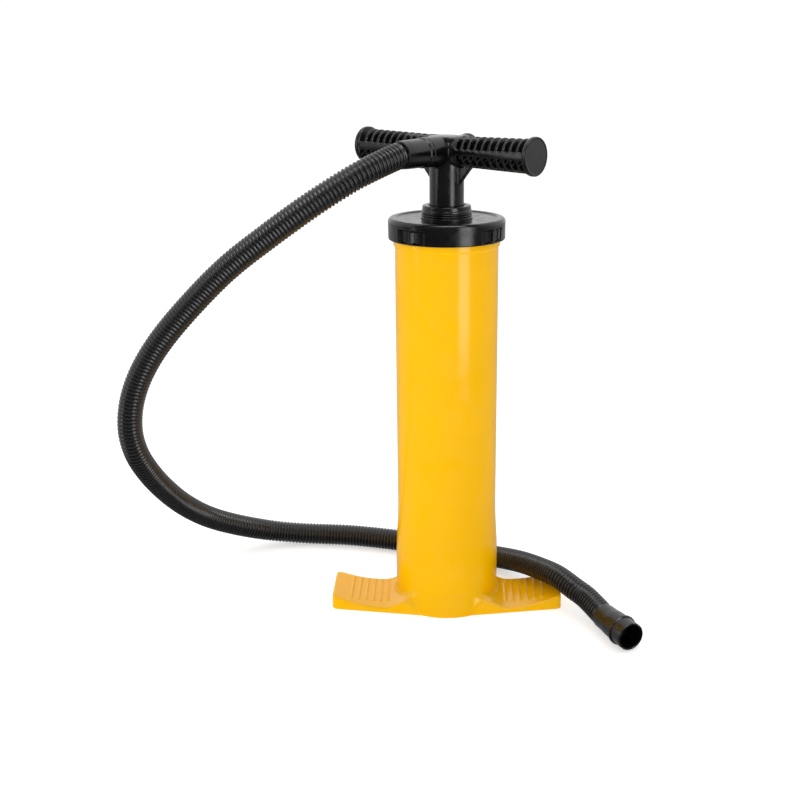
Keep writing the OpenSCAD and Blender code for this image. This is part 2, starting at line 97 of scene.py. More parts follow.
def add_camera():
    """A camera a little over a metre in front, looking down 17 degrees, with the pump right of centre."""
    look_down = 17.05
    data = bpy.data.cameras.new("Camera")
    data.sensor_width = 36
    data.lens = 53.1
    data.shift_x = -0.0584
    camera = bpy.data.objects.new("Camera", data)
    camera.location = (0, -1.132, 0.561)
    camera.rotation_euler = (math.radians(90 - look_down), 0, 0)
    bpy.context.scene.collection.objects.link(camera)
    bpy.context.scene.camera = camera


# ---- Materials ----

def node_tree(name):
    material = bpy.data.materials.new(name)
    material.use_nodes = True
    nodes = material.node_tree.nodes
    return material, nodes, material.node_tree.links, nodes["Principled BSDF"]


def noise(nodes, links, coordinate, size_mm, detail=3.0):
    """Noise whose features are about size_mm across."""
    texture = nodes.new("ShaderNodeTexNoise")
    texture.inputs["Scale"].default_value = 1 / (size_mm * MM)
    texture.inputs["Detail"].default_value = detail
    links.new(coordinate, texture.inputs["Vector"])
    return texture.outputs["Fac"]


def map_range(nodes, links, value, lowest, highest, start=0.35, end=0.65):
    node = nodes.new("ShaderNodeMapRange")
    for socket, number in zip(("From Min", "From Max", "To Min", "To Max"), (start, end, lowest, highest)):
        node.inputs[socket].default_value = number
    links.new(value, node.inputs["Value"])
    return node.outputs["Result"]


def mix_colour(nodes, links, factor, a, b):
    node = nodes.new("ShaderNodeMix")
    node.data_type = "RGBA"
    links.new(factor, node.inputs["Factor"])
    for socket, colour in ((6, a), (7, b)):
        if isinstance(colour, tuple):
            node.inputs[socket].default_value = (*colour, 1)
        else:
            links.new(colour, node.inputs[socket])
    return node.outputs[2]


def plastic(name, colour, rough, grain_mm, grain, shade=0.85, worn=1.0, shine=0.5, cloud_mm=35):
    """Moulded plastic: grained skin, cloudy gloss, slight colour drift and edges rubbed by handling."""
    material, nodes, links, shader = node_tree(name)
    coordinate = nodes.new("ShaderNodeTexCoord").outputs["Object"]
    cloud = noise(nodes, links, coordinate, cloud_mm)
    drift = map_range(nodes, links, cloud, 0, 1)
    body = mix_colour(nodes, links, drift, tuple(shade * c for c in colour), colour)
    pointed = nodes.new("ShaderNodeNewGeometry").outputs["Pointiness"]
    edge = map_range(nodes, links, pointed, 0, 1, 0.53, 0.6)
    rubbed = tuple(min(1.0, worn * c + 0.02 * (worn - 1)) for c in colour)
    links.new(mix_colour(nodes, links, edge, body, rubbed), shader.inputs["Base Color"])
    smudge = noise(nodes, links, coordinate, cloud_mm / 4, 5)
    links.new(map_range(nodes, links, smudge, rough - 0.05, rough + 0.06), shader.inputs["Roughness"])
    bump = nodes.new("ShaderNodeBump")
    bump.inputs["Strength"].default_value = grain
    bump.inputs["Distance"].default_value = 0.05 * MM
    links.new(noise(nodes, links, coordinate, grain_mm), bump.inputs["Height"])
    links.new(bump.outputs["Normal"], shader.inputs["Normal"])
    shader.inputs["Specular IOR Level"].default_value = shine
    return material


def zinc_plate(name):
    """Brushed, slightly clouded zinc on the screws."""
    material, nodes, links, shader = node_tree(name)
    coordinate = nodes.new("ShaderNodeTexCoord").outputs["Object"]
    shader.inputs["Metallic"].default_value = 1.0
    tone = map_range(nodes, links, noise(nodes, links, coordinate, 1.2), 0, 1)
    dull, bright = (0.42, 0.42, 0.40), (0.62, 0.62, 0.64)
    links.new(mix_colour(nodes, links, tone, dull, bright), shader.inputs["Base Color"])
    brushed = map_range(nodes, links, noise(nodes, links, coordinate, 0.4), 0.25, 0.45)
    links.new(brushed, shader.inputs["Roughness"])
    return material


YELLOW = (1.0, 0.525, 0.0)
BLACK, BLACK_GLOSS, BLACK_HOSE = (0.003, 0.003, 0.0036), (0.003, 0.003, 0.0035), (0.003, 0.003, 0.0034)
MATERIALS = {
    "yellow_plastic": plastic("yellow_plastic", YELLOW, 0.16, 0.6, 0.06, shade=0.97, shine=0.32, cloud_mm=60),
    "black_plastic": plastic("black_plastic", BLACK, 0.23, 0.35, 0.15, worn=3.0, shine=0.5),
    "gloss_black": plastic("gloss_black", BLACK_GLOSS, 0.12, 0.8, 0.05, worn=2.5, shine=1.0),
    "hose_plastic": plastic("hose_plastic", BLACK_HOSE, 0.23, 0.5, 0.15, worn=3.0, shine=0.58),
    "pale_plastic": plastic("pale_plastic", (0.74, 0.72, 0.66), 0.38, 0.4, 0.2, shade=0.93),
    "seal_rubber": plastic("seal_rubber", (0.02, 0.02, 0.02), 0.62, 0.3, 0.4, worn=1.3),
    "valve_rubber": plastic("valve_rubber", (0.42, 0.06, 0.045), 0.55, 0.3, 0.4, worn=1.1),
    "screw_steel": zinc_plate("screw_steel"),
}


def paint_frame():
    """Gives every CAD node the material of its slot in the record."""
    for part in frame["record"]["subparts"]:
        mesh = frame["nodes"][part["node"]].data
        mesh.materials.clear()
        mesh.materials.append(MATERIALS[part["material_slot"]])


# ---- Mesh helpers, in millimetres ----

def add_piece(name, points, faces, slot, body, stands_for, place=None):
    mesh = bpy.data.meshes.new(name)
    mesh.from_pydata([tuple(p) for p in np.asarray(points, float) * MM], [], faces)
    if place is not None:
        mesh.transform(place)
    tidy = bmesh.new()
    tidy.from_mesh(mesh)
    bmesh.ops.recalc_face_normals(tidy, faces=tidy.faces)
    tidy.to_mesh(mesh)
    tidy.free()
    mesh.polygons.foreach_set("use_smooth", [True] * len(mesh.polygons))
    mesh.materials.append(MATERIALS[slot])
    piece = bpy.data.objects.new(name, mesh)
    bpy.context.scene.collection.objects.link(piece)
    if stands_for:
        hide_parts(stands_for)
    if body:
        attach(piece, body)
    return piece


def grid_faces(rows, columns, wrap_rows=False, wrap_columns=True):
    """Quads over a grid of points stored row by row."""
    row_steps = rows if wrap_rows else rows - 1
    column_steps = columns if wrap_columns else columns - 1
    return [
        (r * columns + c, r * columns + (c + 1) % columns,
         (r + 1) % rows * columns + (c + 1) % columns, (r + 1) % rows * columns + c)
        for r in range(row_steps) for c in range(column_steps)
    ]


def filleted(corners, steps=4):
    """A closed outline of (r, z, fillet radius) corners, each rounded by an arc."""
    line = []
    count = len(corners)
    for i, (r, z, radius) in enumerate(corners):
        here = np.array((r, z), float)
        before = np.array(corners[i - 1][:2], float) - here
        after = np.array(corners[(i + 1) % count][:2], float) - here
        a, b = np.linalg.norm(before), np.linalg.norm(after)
        before, after = before / a, after / b
        half = math.acos(max(-1.0, min(1.0, float(before @ after)))) / 2
        if radius <= 0 or half > 1.55:
            line.append(here)
            continue
        reach = min(radius / math.tan(half), 0.48 * a, 0.48 * b)
        bend = reach * math.tan(half)
        middle = here + (before + after) / np.linalg.norm(before + after) * bend / math.sin(half)
        start, end = here + before * reach - middle, here + after * reach - middle
        sweep = math.pi - 2 * half
        for k in range(steps + 1):
            t = k / steps
            line.append(middle + (math.sin((1 - t) * sweep) * start + math.sin(t * sweep) * end) / math.sin(sweep))
    return line


def lathe(name, corners, slot, body, stands_for, segments=192, place=None):
    """A closed outline turned round Z."""
    line = filleted(corners)
    turn = np.arange(segments) * TAU / segments
    points = [(r * math.cos(a), r * math.sin(a), z) for r, z in line for a in turn]
    piece = add_piece(name, points, grid_faces(len(line), segments, wrap_rows=True), slot, body, stands_for, place)
    weigh_normals(piece)
    return piece


def weigh_normals(piece):
    """Keeps large faces flat beside their small rounded edges."""
    modifier = piece.modifiers.new("Weighted Normal", "WEIGHTED_NORMAL")
    modifier.weight = 70


def apply_modifiers(piece):
    graph = bpy.context.evaluated_depsgraph_get()
    mesh = bpy.data.meshes.new_from_object(piece.evaluated_get(graph))
    piece.modifiers.clear()
    piece.data = mesh


def smoothstep(value, start, end):
    t = np.clip((value - start) / (end - start), 0, 1)
    return t * t * (3 - 2 * t)


def rounded_box(x, y, half_x, half_y, radius):
    """Signed distance to a box with rounded corners, negative inside it."""
    qx, qy = np.abs(x) - (half_x - radius), np.abs(y) - (half_y - radius)
    outside = np.hypot(np.maximum(qx, 0), np.maximum(qy, 0))
    return outside + np.minimum(np.maximum(qx, qy), 0) - radius


# ---- Barrel, cap and gland ----

def barrel_outside(z):
    """Outside radius of the barrel, widening smoothly towards its foot."""
    t = min(1, max(0, (z - FLARE_LOW) / (FLARE_TOP - FLARE_LOW)))
    return BARREL_R + (FOOT_R - BARREL_R) * (1 + math.cos(math.pi * t)) / 2


def add_barrel():
    flare = [(barrel_outside(z), z, 0) for z in np.linspace(FLARE_LOW, FLARE_TOP, 14)]
    lathe("barrel", [
        (BORE_R, BARREL_LOW, 0.5), (FOOT_R, BARREL_LOW, 0.8), *flare,
        (BARREL_R, SKIRT_LOW - 7.2, 1.2), (BEAD_R, SKIRT_LOW - 5.9, 0.7),
        (BEAD_R, SKIRT_LOW, 0.7), (BARREL_R, SKIRT_LOW, 0.4),
        (BARREL_R, BARREL_TOP, 0.6), (BORE_R, BARREL_TOP, 0.6),
    ], "yellow_plastic", "barrel", "barrel_tube", segments=256)


POCKET_GROUPS = [math.radians(-128 + 90 * i) for i in range(4)]
POCKET_HALF_ARC = 6.9               # half the width of a pocket, in millimetres round the skirt
POCKET_OFFSET = math.radians(8.75)  # from the middle of a pair to the middle of a pocket
POCKET_FOOT, POCKET_TOP = 1.3, 13.4
POCKET_DEPTH = 3.0


def skirt_pocket(turn, z):
    """Depth of the grip pockets in the cap's skirt, at an angle and a height above the skirt's foot."""
    depth = np.zeros_like(turn)
    for group in POCKET_GROUPS:
        for side in (-1, 1):
            away = (turn - group - side * POCKET_OFFSET + math.pi) % TAU - math.pi
            middle, half_height = (POCKET_TOP + POCKET_FOOT) / 2, (POCKET_TOP - POCKET_FOOT) / 2
            distance = rounded_box(away * CAP_R, z - middle, POCKET_HALF_ARC, half_height, 1.4)
            depth = np.maximum(depth, 1 - smoothstep(distance, -0.9, 0.25))
    return depth * POCKET_DEPTH


def add_cap():
    """The screw cap: a rounded rim, a sunk top plate, a neck for the gland and pockets round its skirt."""
    skirt_inner = BARREL_R + 0.1
    collar_hole_r = 24.8
    rim = CAP_R - 7.6
    foot = SKIRT_LOW
    seat, neck_foot, gasket_top = BARREL_TOP - 2, BARREL_TOP - 5, BARREL_TOP + 2
    line = filleted([
        (skirt_inner, foot, 0.4), (CAP_R - 0.3, foot, 0.9), (CAP_R, CAP_TOP, 5.2), (rim, CAP_TOP, 2.6),
        (rim - 1.0, CAP_TOP - 1.0, 1.0), (collar_hole_r, CAP_TOP - 1.2, 0.3), (collar_hole_r, CAP_PLATE, 0),
        (GLAND_THREAD_R, CAP_PLATE, 0), (GLAND_THREAD_R, seat, 0), (NECK_BORE_R, seat, 0.3),
        (NECK_BORE_R, neck_foot, 0.4), (NECK_R, neck_foot, 0.8), (NECK_R, gasket_top, 0.8),
        (skirt_inner, gasket_top, 0.5),
    ], steps=6)
    outer_from, skirt_rows = CAP_R - 6, 26
    dense = []
    for (r0, z0), (r1, z1) in zip(line, line[1:] + line[:1]):
        outside = min(r0, r1) > outer_from and abs(z1 - z0) > 1
        count = skirt_rows if outside else 1
        dense += [(r0 + (r1 - r0) * k / count, z0 + (z1 - z0) * k / count) for k in range(count)]
    segments = 540
    turn = np.arange(segments) * TAU / segments
    rows = []
    for r, z in dense:
        if r > outer_from:
            pocket = skirt_pocket(turn, np.full_like(turn, z - foot))
            radius = r - pocket * smoothstep(r, CAP_R - 5.5, CAP_R - 4)
        else:
            radius = np.full_like(turn, r)
        rows.append(np.stack([radius * np.cos(turn), radius * np.sin(turn), np.full_like(turn, z)], 1))
    piece = add_piece("screw_cap", np.concatenate(rows), grid_faces(len(rows), segments, wrap_rows=True),
                      "black_plastic", "barrel", "top_cap")
    weigh_normals(piece)


def add_gland_collar():
    """The collar round the stem, with three shallow grooves."""
    foot, top = CAP_PLATE, GLAND_TOP
    bush_r, mouth_r, rod_hole_r = 20.05, STEM_R + 1.1, ROD_R + 0.5
    outer = [(24.6, foot, 0.3)]
    for z in (3.2, 5.4, 7.6):
        outer += [(24.5, foot + z - 0.5, 0.3), (23.9, foot + z, 0.2), (24.3, foot + z + 0.5, 0.3)]
    outer += [(24.1, foot + 9.4, 0.4), (23.4, foot + 9.9, 0.3)]
    lathe("gland_ring", [
        (bush_r, GLAND_LOW, 0.3), (GLAND_THREAD_R, GLAND_LOW, 0.3), (GLAND_THREAD_R, foot, 0), *outer,
        (23.3, top, 1.3), (mouth_r, top, 0.7), (mouth_r, top - 2, 0.2), (rod_hole_r, top - 2, 0.3),
        (rod_hole_r, top - 5, 0.3), (bush_r, top - 5, 0.3),
    ], "black_plastic", "barrel", "gland_collar")


# ---- Handle ----

COLLAR_END = 21.4
CUFF_START, CUFF_END = 33.0, 67.0
CUFF_R, RING_R = 13.0, 14.0         # the cuffs and the ports, and the rings round them
SPIGOT, SPIGOT_R = 13, 10.5         # the spigot inside the hose's cuff
INTAKE_END = 34.0
DISC_START = HANDLE_HALF - 5.2
SLOT_COUNT = 10
RIB = 2.8
SLOT = (DISC_START - COLLAR_END - (SLOT_COUNT - 1) * RIB) / SLOT_COUNT
GRIP_CORE = 7.5                     # radius of the core at the bottom of the slots
GRIP_HUB_R, GRIP_TAPER = 14.2, 1.5  # radius beside the hub, and how much it grows towards the disc
DISC_R, DISC_EDGE, DISC_RIM, DISC_SUNK = 17.5, 1.0, 1.6, 0.35
HUB_SLOTS = 3                       # slots beside the hub that are split in three
# Angular windows of a slot round the grip in degrees, 0 at the top and 90 at the front
LOWER_WINDOWS = [(101, 168), (192, 259)]
OPEN_WINDOWS = [(-80, 80)]
HUB_WINDOWS = [(-77, -34), (-20, 20), (34, 77)]


def grip_radius(x):
    return GRIP_HUB_R + GRIP_TAPER * np.clip((x - COLLAR_END) / (DISC_START - COLLAR_END), 0, 1)


def slot_distance(x, turn):
    """Signed distance in millimetres to the nearest slot of a grip, negative inside it."""
    nearest = np.full_like(x, 9.0)
    mean_r = 14.8
    for i in range(SLOT_COUNT):
        centre = COLLAR_END + SLOT / 2 + i * (SLOT + RIB)
        for first, last in LOWER_WINDOWS + (HUB_WINDOWS if i < HUB_SLOTS else OPEN_WINDOWS):
            middle, half = math.radians(first + last) / 2, math.radians(last - first) / 2
            away = (turn - middle + math.pi) % TAU - math.pi
            arc = half * mean_r
            distance = rounded_box(x - centre, away * grip_radius(x), SLOT / 2 + 0.25, arc, SLOT / 2)
            nearest = np.minimum(nearest, distance)
    return nearest


def add_grip(name, side):
    """One ribbed grip with its end disc, along +X or -X of the handle."""
    columns, row_step, root = 168, 0.36, 8.0
    ribbed = np.arange(COLLAR_END - 1.2, DISC_START - 0.2, row_step)
    disc = [(DISC_START, grip_radius(DISC_START)), (DISC_START + 0.3, DISC_R - 1.2),
            (DISC_START + 0.7, DISC_R - 0.4), (DISC_START + 1.4, DISC_R)]
    disc += [(HANDLE_HALF - DISC_EDGE + DISC_EDGE * math.sin(a), DISC_R - DISC_EDGE + DISC_EDGE * math.cos(a))
             for a in np.linspace(0, math.pi / 2, 6)]
    face = HANDLE_HALF - DISC_SUNK
    disc += [(HANDLE_HALF, DISC_R - DISC_RIM), (face, DISC_R - DISC_RIM - 0.4), (face, DISC_R - DISC_RIM - 0.6)]
    start = [(root, 2.0), (root, GRIP_HUB_R), (COLLAR_END - 1.6, GRIP_HUB_R)]
    turn = np.arange(columns) * TAU / columns
    rows = []
    for x, r in start:
        rows.append((np.full(columns, x), np.full(columns, r)))
    for x in ribbed:
        along = np.full(columns, x)
        distance = slot_distance(along, turn)
        softened = 0.5 * np.exp(-np.clip(distance, 0, 9) / 0.55)
        outer = grip_radius(along) - softened
        rows.append((along, GRIP_CORE + (outer - GRIP_CORE) * smoothstep(distance, -0.55, 0.15)))
    for x, r in disc:
        rows.append((np.full(columns, x), np.full(columns, r)))
    points = np.concatenate([
        np.stack([side * x, -r * np.sin(turn), r * np.cos(turn)], 1) for x, r in rows])
    faces = grid_faces(len(rows), columns)
    faces += [tuple(range(columns)), tuple(range((len(rows) - 1) * columns, len(rows) * columns))]
    add_piece(name, points, faces, "black_plastic", "rod", "handle", IN_HANDLE)


def solid_of(shapes):
    """One mesh of overlapping closed shapes: (radius, start, end) bars and (outline, half thickness) webs."""
    build = bmesh.new()
    for radius, start, end in shapes["bars"]:
        start, end = Vector(start), Vector(end)
        along = (end - start).to_track_quat("Z", "Y").to_matrix().to_4x4()
        bmesh.ops.create_cone(build, cap_ends=True, segments=96, radius1=radius, radius2=radius,
                              depth=(end - start).length,
                              matrix=Matrix.Translation((start + end) / 2) @ along)
    for outline, half in shapes.get("webs", []):
        near = [build.verts.new((x, -half, z)) for x, z in outline]
        far = [build.verts.new((x, half, z)) for x, z in outline]
        build.faces.new(near)
        build.faces.new(far[::-1])
        for i in range(len(outline)):
            j = (i + 1) % len(outline)
            build.faces.new((near[j], near[i], far[i], far[j]))
    bmesh.ops.recalc_face_normals(build, faces=build.faces)
    bmesh.ops.scale(build, vec=(MM, MM, MM), verts=build.verts)
    mesh = bpy.data.meshes.new("solid")
    build.to_mesh(mesh)
    build.free()
    piece = bpy.data.objects.new("solid", mesh)
    bpy.context.scene.collection.objects.link(piece)
    return piece


def cut(piece, shapes, overlapping=False):
    """Cuts bars out of a piece. Bars that overlap one another need overlapping=True."""
    cutter = solid_of(shapes)
    modifier = piece.modifiers.new("cut", "BOOLEAN")
    modifier.operation = "DIFFERENCE"
    modifier.solver = "EXACT"
    modifier.use_self = overlapping
    modifier.object = cutter
    apply_modifiers(piece)
    bpy.data.objects.remove(cutter)


def add_hub():
    """Stem, hub, webs, hose collar and intake port as one moulding with soft corners, then its bores."""
    foot = STEM_FOOT - HANDLE_Z
    centre = (0, 0, 0)
    lug_y, lug_r, lug_reach = INTAKE_END - 6.5, 1.5, 14.4
    web_half = 2.5
    outlet_bore_r, intake_bore_r = 7.5, 8.5
    rod_head, inner_from, inner_head = -26, -27, -17
    shapes = {
        "bars": [
            (STEM_R, (0, 0, foot), (0, 0, COVER_FOOT)),
            (GRIP_HUB_R, (-COLLAR_END, 0, 0), (COLLAR_END, 0, 0)),
            (RING_R, (0, -CUFF_START, 0), centre), (SPIGOT_R, (0, -CUFF_START - SPIGOT, 0), centre),
            (CUFF_R, centre, (0, INTAKE_END, 0)), (RING_R, (0, INTAKE_END - 4, 0), (0, INTAKE_END - 1, 0)),
            (lug_r, (-lug_reach, lug_y, 0), (lug_reach, lug_y, 0)),
        ],
        "webs": [([(side * 12, -33), (side * 16, -31), (side * 23, -22.5), (side * 32, -12.5), (side * 32, -6),
                   (side * 12, -6)], web_half) for side in (-1, 1)],
    }
    piece = solid_of(shapes)
    cut(piece, {"bars": [
        (15.0, (0, 0, foot - 2), (0, 0, rod_head)), (13.0, (0, 0, inner_from), (0, 0, inner_head)),
        (outlet_bore_r, (0, -CUFF_START - 20, 0), (0, 3, 0)), (intake_bore_r, (0, 9, 0), (0, INTAKE_END + 3, 0)),
    ]}, overlapping=True)
    remesh = piece.modifiers.new("remesh", "REMESH")
    remesh.mode = "VOXEL"
    remesh.voxel_size = 0.62 * MM
    smooth = piece.modifiers.new("smooth", "SMOOTH")
    smooth.factor = 0.5
    smooth.iterations = 6
    apply_modifiers(piece)
    mesh = piece.data
    mesh.transform(IN_HANDLE)
    mesh.polygons.foreach_set("use_smooth", [True] * len(mesh.polygons))
    mesh.materials.clear()
    mesh.materials.append(MATERIALS["black_plastic"])
    piece.name = "handle_hub"
    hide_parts("handle")
    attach(piece, "rod")


def add_hub_cover():
    """A low domed cover with round ends on top of the hub."""
    columns = 160
    straight, round_r = 5.0, 14.0
    turn = np.arange(columns) * TAU / columns
    height = HUB_TOP - HANDLE_Z - COVER_FOOT
    shoulder, edge_in, edge_up = height - 2.6, 2.2, 1.5
    levels = [(round_r - 1.0, 0.0), (round_r, 0.0), (round_r, shoulder)]
    levels += [(round_r - edge_in * (1 - math.cos(a)), shoulder + edge_up * math.sin(a))
               for a in np.linspace(0.25, math.pi / 2, 6)]
    levels += [(round_r * t, height - 0.15 * (t / 0.8) ** 2 * 6) for t in np.linspace(0.8, 0.06, 9)]
    rows = []
    for r, z in levels:
        stretch = straight * min(1.0, r / round_r)
        rows.append(np.stack([r * np.cos(turn) + stretch * np.tanh(4 * np.cos(turn)),
                              r * np.sin(turn), np.full(columns, COVER_FOOT + z)], 1))
    faces = grid_faces(len(rows), columns)
    faces += [tuple(range(columns)), tuple(range((len(rows) - 1) * columns, len(rows) * columns))]
    add_piece("hub_cap", np.concatenate(rows), faces, "gloss_black", "rod", "hub_cover", IN_HANDLE)


# ---- Foot plate ----

PLATE_HALF = high("foot_plate", 0)
NOSE_R = high("foot_plate", 1)
NOSE_H = high("foot_plate")
NOSE_HALF, DIP_X, DIP_H, TIP_H = 28.0, 66.0, 5.0, 15.5
FRONT_ROOT, FRONT_TIP, BACK = 54.0, 36.0, 27.0
FRONT_CORNER, BACK_CORNER = 6.0, 9.0
TREADS = [61 + 7.5 * i for i in range(6)]
TREAD_FRONT, TREAD_BACK, TREAD_HEIGHT = 28.0, 23.0, 1.2
SCREW_PITCH_R, SCREW_HOLE_R, HEAD_HOLE_R = 36, 2.2, 4.5


def plate_height(x):
    a = np.abs(x)
    slope = DIP_H + (NOSE_H - DIP_H) * (1 + np.cos(math.pi * (a - NOSE_HALF) / (DIP_X - NOSE_HALF))) / 2
    wing = DIP_H + (TIP_H - DIP_H) * ((a - DIP_X) / (PLATE_HALF - DIP_X)) ** 2
    return np.where(a < NOSE_HALF, NOSE_H, np.where(a < DIP_X, slope, wing))


def plate_reach(x, root, tip, corner):
    """How far the plate reaches from the barrel's axis on one side at x."""
    a = np.abs(x)
    disc = np.sqrt(np.maximum(NOSE_R ** 2 - a ** 2, 0))
    corner_x = PLATE_HALF - corner
    wing = root + (tip - root) * a / corner_x
    rounded = tip - corner + np.sqrt(np.maximum(corner ** 2 - np.maximum(a - corner_x, 0) ** 2, 0))
    return np.where(a > corner_x, rounded, np.maximum(disc, wing))


def add_foot_plate():
    """The two-winged plate: a dished top with treads, soft edges, and hollows under the wings."""
    edge = PLATE_HALF - (1 - np.cos(np.linspace(0, math.pi / 2, 8))) * 3.0
    inner = np.arange(0, edge[-1] - 0.4, 0.7)
    xs = np.unique(np.concatenate([-edge, -inner, inner, edge]))
    middle = np.concatenate([np.arange(0, 0.87, 0.028), np.linspace(0.87, 1, 27)])
    vs = np.unique(np.concatenate([-middle, middle]))
    x, v = np.meshgrid(xs, vs, indexing="ij")
    front = plate_reach(x, FRONT_ROOT, FRONT_TIP, FRONT_CORNER)
    back = plate_reach(x, BACK, BACK, BACK_CORNER)
    y = np.where(v < 0, v * front, v * back)
    inset = np.minimum((1 - np.abs(v)) * np.where(v < 0, front, back), PLATE_HALF - np.abs(x))
    round_r = 2.6
    drop = round_r - np.sqrt(np.maximum(round_r ** 2 - np.maximum(round_r - inset, 0) ** 2, 0))
    top = plate_height(x)
    tread_middle, tread_half = (TREAD_BACK - TREAD_FRONT) / 2, (TREAD_BACK + TREAD_FRONT) / 2
    for tread in TREADS:
        for side in (-1, 1):
            distance = rounded_box(x - side * tread, y - tread_middle, 1.1, tread_half, 1.0)
            top = top + TREAD_HEIGHT * (1 - smoothstep(distance, -0.9, 0.5))
    round_barrel = 3.5
    gap = np.clip(np.hypot(x, y) - FOOT_R, 0, round_barrel)
    top = top + round_barrel - np.sqrt(round_barrel ** 2 - (round_barrel - gap) ** 2)
    top = top - np.minimum(drop, top - 0.6)
    # In front, the nose leans back from its foot to the barrel, without a ledge
    ledge = np.maximum(front - np.sqrt(np.maximum(FOOT_R ** 2 - x ** 2, 0)), 0.5)
    nose_foot, nose_rise, nose_top = 1.5, NOSE_H + 5, NOSE_H + 7
    lean = nose_foot + nose_rise * np.clip(inset / ledge, 0, 1.1) ** 0.85
    nose = (1 - smoothstep(np.abs(x), 24, 46)) * (y < -10)
    top = top * (1 - nose) + np.minimum(lean, nose_top) * nose
    # The hollows under the wings, between the outer walls and the ribs
    hollow_skin, hollow_ribs = 2.4, (80, 98)
    hollow = plate_height(x) - hollow_skin
    wall = smoothstep(inset, 3.0, 3.8) * smoothstep(np.abs(x), 57.4, 58.4)
    for rib in hollow_ribs:
        wall = wall * smoothstep(np.abs(np.abs(x) - rib), 1.0, 1.6)
    wall = wall * smoothstep(np.abs(y), 1.0, 1.6)
    bottom = hollow * wall + 0.5 * (1 - smoothstep(inset, 0, 0.5))
    rows, columns = x.shape
    points = np.concatenate([np.stack([x, y, z], 2).reshape(-1, 3) for z in (top, bottom)])
    upper = grid_faces(rows, columns, wrap_columns=False)
    offset = rows * columns
    faces = upper + [tuple(offset + i for i in reversed(f)) for f in upper]
    ring = [r * columns for r in range(rows)] + [(rows - 1) * columns + c for c in range(1, columns)]
    ring += [r * columns + columns - 1 for r in range(rows - 2, -1, -1)] + list(range(columns - 2, 0, -1))
    faces += [(a, b, offset + b, offset + a) for a, b in zip(ring, ring[1:] + ring[:1])]
    piece = add_piece("tread_plate", points, faces, "yellow_plastic", None, "foot_plate")
    places = [(SCREW_PITCH_R * math.cos(a), SCREW_PITCH_R * math.sin(a)) for a in TAU * (np.arange(4) + 0.5) / 4]
    socket = (FOOT_R - 1.2, (0, 0, 4), (0, 0, 40))
    cut(piece, {"bars": [socket] + [(HEAD_HOLE_R, (*q, -2), (*q, 2.4)) for q in places]})
    cut(piece, {"bars": [(SCREW_HOLE_R, (*q, 1), (*q, 6)) for q in places]})
    piece.data.polygons.foreach_set("use_smooth", [True] * len(piece.data.polygons))
    piece.data.materials.clear()
    piece.data.materials.append(MATERIALS["yellow_plastic"])
    weigh_normals(piece)
    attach(piece, "barrel")


# ---- Hose ----

HOSE_R = 12.0
END_TURN = math.radians(-65)
END_CUFF = 48.0
PORT_DIRECTION = np.array((math.sin(HANDLE_TURN), -math.cos(HANDLE_TURN), 0))
END_DIRECTION = np.array((math.cos(END_TURN), math.sin(END_TURN), 0))
END_MOUTH = np.array((175.5, -123, 15.3))
HOSE_START = np.array((0, 0, HANDLE_Z)) + CUFF_END * PORT_DIRECTION
# The same points that the CAD tube runs through, in millimetres
HOSE_ROUTE = [
    HOSE_START, (-65.7, -72, 451), (-87.7, -81, 440), (-122.8, -83, 418), (-160.7, -78, 391),
    (-199.5, -71, 361), (-235.7, -64, 326), (-266.9, -58, 291), (-287.9, -55, 260), (-300.8, -53, 230),
    (-306.2, -49, 200), (-304.7, -40.8, 173.7), (-300, -23.4, 147.9), (-292.6, 5.7, 117.3),
    (-281.4, 42.7, 84.2), (-263.9, 75.7, 56.3), (-238.1, 101, 35.9), (-204.4, 124, 19),
    (-163.8, 130, 12.6), (-110.8, 125, 12.2), (-55.9, 111, 12.2), (-0.8, 93, 12.2), (47, 68, 13),
    (79, 37, 19.8), (100, 8, 24.6), (115, -18, 28.2), (130.5, -38.5, 24.2), (141.5, -52, 20.7),
    END_MOUTH - END_CUFF * END_DIRECTION,
]
SPLIT_POINT = 17            # the route point on the floor where the hose's two stretches meet
PITCH = 3.8                 # of the corrugation
RIB_HEIGHT = 1.5
RINGS_PER_RIB = 6
HOSE_BORE_R = 9.5


def smooth_line(route, steps=40):
    """Catmull-Rom curve through the route."""
    p = [np.array(q, float) for q in route]
    line = []
    for i in range(len(p) - 1):
        a, b, c, d = p[max(i - 1, 0)], p[i], p[i + 1], p[min(i + 2, len(p) - 1)]
        for t in np.arange(steps) / steps:
            line.append(0.5 * (2 * b + (c - a) * t + (2 * a - 5 * b + 4 * c - d) * t * t
                               + (3 * b - a - 3 * c + d) * t ** 3))
    return np.array(line + [p[-1]])


def corrugated(name, line, distance, total):
    """A closed corrugated tube along a line whose points lie at the given distances of the hose's total."""
    columns = 30
    plain_end = 5.0             # the ribs fade out towards the two cuffs
    heading = np.gradient(line, axis=0)
    heading /= np.linalg.norm(heading, axis=1)[:, None]
    side = np.array((0.0, 0.0, 1.0))
    turn = np.arange(columns) * TAU / columns
    rows = []
    for point, along, s in zip(line, heading, distance):
        side = side - (side @ along) * along
        side = side / np.linalg.norm(side)
        up = np.cross(along, side)
        wave = 0.5 + 0.5 * math.cos(TAU * s / PITCH)
        calm = min(1.0, s / plain_end, abs(total - s) / plain_end)
        radius = HOSE_R - RIB_HEIGHT * calm * (1 - wave ** 0.6) - 0.25 * (1 - calm)
        rows.append(point + radius * (np.cos(turn)[:, None] * side + np.sin(turn)[:, None] * up))
    faces = grid_faces(len(rows), columns)
    faces += [tuple(range(columns)), tuple(range((len(rows) - 1) * columns, len(rows) * columns))]
    return add_piece(name, np.concatenate(rows), faces, "hose_plastic", None, "hose")


